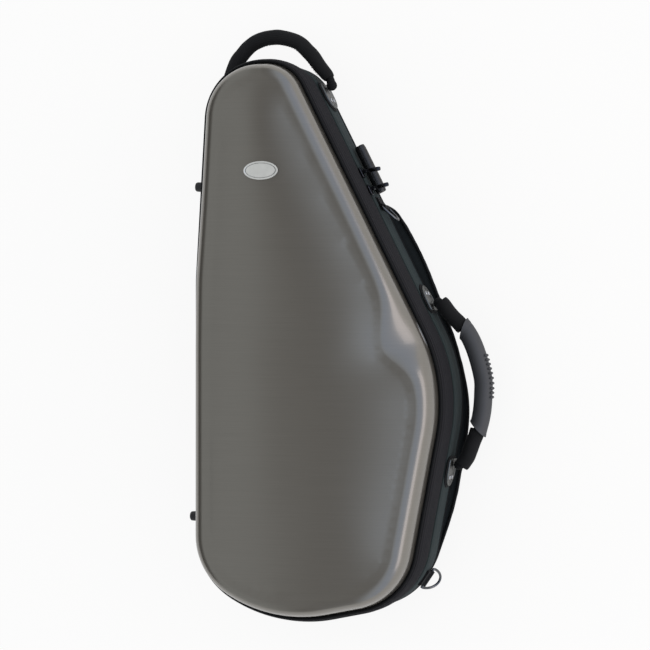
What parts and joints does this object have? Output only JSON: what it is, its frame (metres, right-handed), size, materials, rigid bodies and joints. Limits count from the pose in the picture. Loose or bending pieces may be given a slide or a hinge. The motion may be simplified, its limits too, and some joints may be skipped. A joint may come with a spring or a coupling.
{
  "type": "alto saxophone case",
  "caption": "Shaped alto saxophone case with a moulded domed front shell, zipped lid on a spine hinge, fitted foam cradle, ribbed side handle, padded top handle and back pocket.",
  "frame": {"origin": "middle of the shell's rim seen from the front, at the level of the back pocket's flat face, on which the case lies", "axes": "+X towards the bell and handle side, +Y towards the neck end, +Z out of the front shell"},
  "size_m": [0.3441, 0.6753, 0.1757],
  "materials": {
    "shell": "satin moulded shell, mid grey",
    "lid_fabric": "dark grey woven nylon",
    "base_fabric": "green-grey woven nylon",
    "trim": "black webbing and zip tape",
    "lining": "black plush over foam",
    "plate_metal": "satin",
    "badge_metal": "bright, bare",
    "grip_rubber": "matt",
    "stud_rubber": "matt",
    "leather": "glossy, rolled",
    "zip_metal": "glossy black"
  },
  "bodies": {
    "base": {"base_gusset": "base_fabric", "base_piping": "trim", "base_zip_tape": "trim", "base_zip_chain": "zip_metal", "back_panel": "lining", "insert_floor": "lining", "base_insert": "lining", "body_strap": "trim", "hinge_strip_base": "base_fabric", "spine_foot_base_upper": "stud_rubber", "spine_foot_base_lower": "stud_rubber", "pocket_shell": "lid_fabric", "pocket_welt": "trim", "pocket_zip": "zip_metal", "side_upper_pad": "trim", "side_upper_plate": "plate_metal", "side_lower_pad": "trim", "side_lower_plate": "plate_metal", "top_left_pad": "trim", "top_left_plate": "plate_metal", "top_right_pad": "trim", "top_right_plate": "plate_metal", "strap_roll": "leather", "ring_tab_upper": "trim", "ring_tab_lower": "trim"},
    "lid": {"front_shell": "shell", "lid_lining": "lining", "lid_gusset": "lid_fabric", "lid_piping": "trim", "lid_zip_tape": "trim", "lid_zip_chain": "zip_metal", "hinge_strip_lid": "lid_fabric", "spine_foot_lid_upper": "stud_rubber", "spine_foot_lid_lower": "stud_rubber", "badge": "badge_metal"},
    "side_handle": {"side_handle_grip": "grip_rubber", "side_handle_strap": "trim", "side_handle_boot_upper": "lid_fabric", "side_handle_boot_lower": "lid_fabric"},
    "top_handle": {"top_handle_tube": "lid_fabric", "top_handle_strap": "trim"},
    "slider_upper": {"zip_slider_upper": "zip_metal"},
    "slider_lower": {"zip_slider_lower": "zip_metal"},
    "pull_upper": {"zip_pull_upper": "zip_metal"},
    "pull_lower": {"zip_pull_lower": "zip_metal"},
    "slider_pocket": {"pocket_slider": "zip_metal"},
    "pull_pocket": {"pocket_pull": "zip_metal"},
    "ring_upper": {"strap_ring_upper": "plate_metal"},
    "ring_lower": {"strap_ring_lower": "plate_metal"}
  },
  "joints": [
    {"name": "lid_hinge", "type": "hinge", "parent": "base", "child": "lid", "pos_m": [-0.1465, 0, 0.0736], "axis": [0, -1, 0], "range_deg": [0, 105]},
    {"name": "side_handle_pivot", "type": "hinge", "parent": "base", "child": "side_handle", "pos_m": [0.13373, -0.05049, 0.0511], "axis": [0.1292, -0.9916, 0], "range_deg": [-25, 45]},
    {"name": "top_handle_pivot", "type": "hinge", "parent": "base", "child": "top_handle", "pos_m": [-0.06841, 0.29388, 0.0511], "axis": [1, 0.0001, 0], "range_deg": [-30, 40]},
    {"name": "zip_upper_slide", "type": "slide", "parent": "base", "child": "slider_upper", "axis": [-0.4487, 0.8937, 0], "range_m": [0, 0.065]},
    {"name": "zip_lower_slide", "type": "slide", "parent": "base", "child": "slider_lower", "axis": [0.4487, -0.8937, 0], "range_m": [0, 0.1]},
    {"name": "zip_upper_pull", "type": "hinge", "parent": "slider_upper", "child": "pull_upper", "pos_m": [0.04062, 0.19239, 0.0736], "axis": [0, 0, 1], "range_deg": [-42, 78]},
    {"name": "zip_lower_pull", "type": "hinge", "parent": "slider_lower", "child": "pull_lower", "pos_m": [0.05056, 0.17258, 0.0736], "axis": [0, 0, 1], "range_deg": [-48, 72]},
    {"name": "pocket_slide", "type": "slide", "parent": "base", "child": "slider_pocket", "axis": [-1, 0, 0], "range_m": [0, 0.12]},
    {"name": "pocket_zip_pull", "type": "hinge", "parent": "slider_pocket", "child": "pull_pocket", "pos_m": [0.03392, 0.16559, 0.0126], "axis": [0, 0, 1], "range_deg": [-60, 60]},
    {"name": "ring_upper_hinge", "type": "hinge", "parent": "base", "child": "ring_upper", "pos_m": [0.05865, 0.15158, 0.0511], "axis": [0, 0, 1], "range_deg": [0, 115]},
    {"name": "ring_lower_hinge", "type": "hinge", "parent": "base", "child": "ring_lower", "pos_m": [0.10627, -0.27397, 0.0406], "axis": [-0.5618, -0.8273, 0], "range_deg": [0, 120]}
  ]
}
